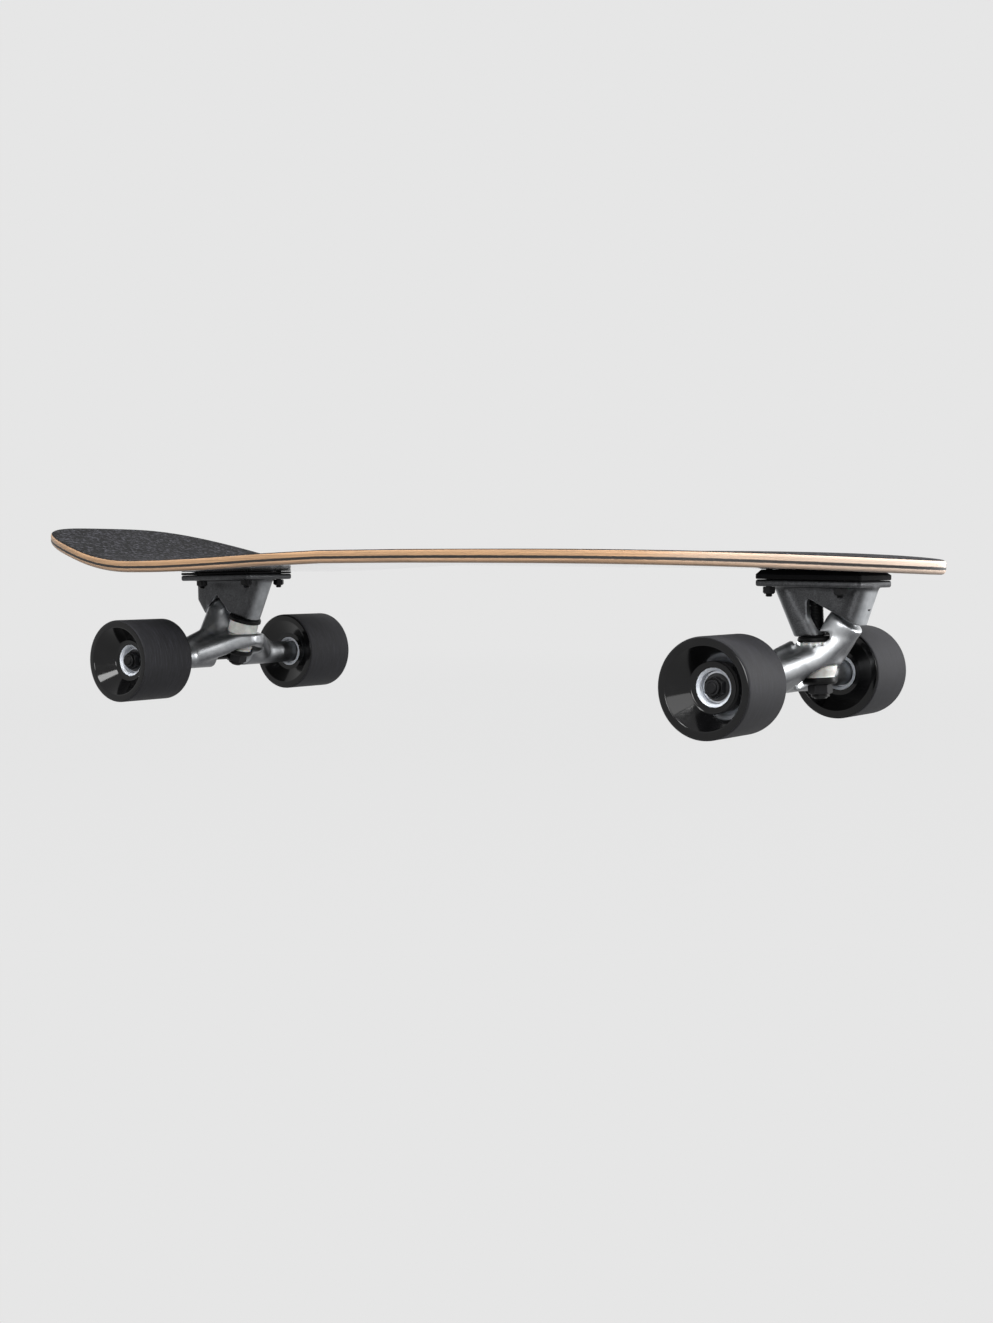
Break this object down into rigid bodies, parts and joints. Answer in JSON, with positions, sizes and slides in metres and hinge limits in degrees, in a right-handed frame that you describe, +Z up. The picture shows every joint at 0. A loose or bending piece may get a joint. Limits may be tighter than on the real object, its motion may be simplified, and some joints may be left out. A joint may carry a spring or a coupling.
{
  "type": "surf skateboard",
  "caption": "Wide kick-tail surf skateboard with a loose front truck and a stiffer rear truck, soft wide wheels, laminated maple deck and full grip tape.",
  "frame": {"origin": "centre of the bounding box in X and Y, on the riding surface under the wheels", "axes": "+X towards the nose, +Y to the left side of a rider facing the nose, +Z up; metres"},
  "size_m": [0.829, 0.26, 0.15],
  "materials": {
    "grip": "coarse black abrasive grip sheet, matt",
    "maple": "maple veneer plies, satin sealed edge, dark lacquered underside",
    "black_ply": "black-dyed maple ply, satin",
    "rubber": "moulded black rubber, matt",
    "casting": "cast aluminium, tumbled and polished on the outer faces",
    "black_steel": "black oxide steel, satin",
    "steel": "ground steel",
    "bushing": "cast white urethane, satin",
    "urethane": "dark grey soft urethane, ground tread and glossy moulded faces"
  },
  "bodies": {
    "board": {"grip_tape": "grip", "deck_upper_plies": "maple", "deck_black_ply": "black_ply", "deck_lower_plies": "maple", "front_riser_pad": "rubber", "front_baseplate": "casting", "front_pivot_cup": "rubber", "front_kingpin": "black_steel", "front_kingpin_nut": "black_steel", "front_upper_washer": "black_steel", "front_lower_washer": "black_steel", "front_upper_bushing": "bushing", "front_lower_bushing": "bushing", "front_mount_bolt_1": "black_steel", "front_mount_nut_1": "black_steel", "front_mount_bolt_2": "black_steel", "front_mount_nut_2": "black_steel", "front_mount_bolt_3": "black_steel", "front_mount_nut_3": "black_steel", "front_mount_bolt_4": "black_steel", "front_mount_nut_4": "black_steel", "rear_riser_pad": "rubber", "rear_baseplate": "casting", "rear_pivot_cup": "rubber", "rear_kingpin": "black_steel", "rear_kingpin_nut": "black_steel", "rear_upper_washer": "black_steel", "rear_lower_washer": "black_steel", "rear_upper_bushing": "bushing", "rear_lower_bushing": "bushing", "rear_mount_bolt_1": "black_steel", "rear_mount_nut_1": "black_steel", "rear_mount_bolt_2": "black_steel", "rear_mount_nut_2": "black_steel", "rear_mount_bolt_3": "black_steel", "rear_mount_nut_3": "black_steel", "rear_mount_bolt_4": "black_steel", "rear_mount_nut_4": "black_steel"},
    "front_hanger": {"front_hanger": "casting", "front_axle": "steel", "front_left_axle_nut": "black_steel", "front_right_axle_nut": "black_steel"},
    "rear_hanger": {"rear_hanger": "casting", "rear_axle": "steel", "rear_left_axle_nut": "black_steel", "rear_right_axle_nut": "black_steel"},
    "front_left_wheel": {"front_left_wheel": "urethane", "front_left_outer_bearing": "steel", "front_left_inner_bearing": "steel"},
    "front_right_wheel": {"front_right_wheel": "urethane", "front_right_outer_bearing": "steel", "front_right_inner_bearing": "steel"},
    "rear_left_wheel": {"rear_left_wheel": "urethane", "rear_left_outer_bearing": "steel", "rear_left_inner_bearing": "steel"},
    "rear_right_wheel": {"rear_right_wheel": "urethane", "rear_right_outer_bearing": "steel", "rear_right_inner_bearing": "steel"}
  },
  "joints": [
    {"name": "front_steer", "type": "hinge", "parent": "board", "child": "front_hanger", "pos_m": [0.32261, 0, 0.04943], "axis": [0.6196, 0, 0.7849], "range_deg": [-20, 20], "stiffness_Nm_per_rad": 30, "deforming": ["front_upper_bushing", "front_lower_bushing"]},
    {"name": "front_left_wheel_spin", "type": "hinge", "parent": "front_hanger", "child": "front_left_wheel", "pos_m": [0.3008, 0.103, 0.0345], "axis": [0, 1, 0], "continuous": true},
    {"name": "front_right_wheel_spin", "type": "hinge", "parent": "front_hanger", "child": "front_right_wheel", "pos_m": [0.3008, -0.103, 0.0345], "axis": [0, 1, 0], "continuous": true},
    {"name": "rear_steer", "type": "hinge", "parent": "board", "child": "rear_hanger", "pos_m": [-0.23699, 0, 0.05188], "axis": [-0.7376, 0, 0.6753], "range_deg": [-17, 17], "stiffness_Nm_per_rad": 45, "deforming": ["rear_upper_bushing", "rear_lower_bushing"]},
    {"name": "rear_left_wheel_spin", "type": "hinge", "parent": "rear_hanger", "child": "rear_left_wheel", "pos_m": [-0.2558, 0.103, 0.0345], "axis": [0, 1, 0], "continuous": true},
    {"name": "rear_right_wheel_spin", "type": "hinge", "parent": "rear_hanger", "child": "rear_right_wheel", "pos_m": [-0.2558, -0.103, 0.0345], "axis": [0, 1, 0], "continuous": true}
  ]
}
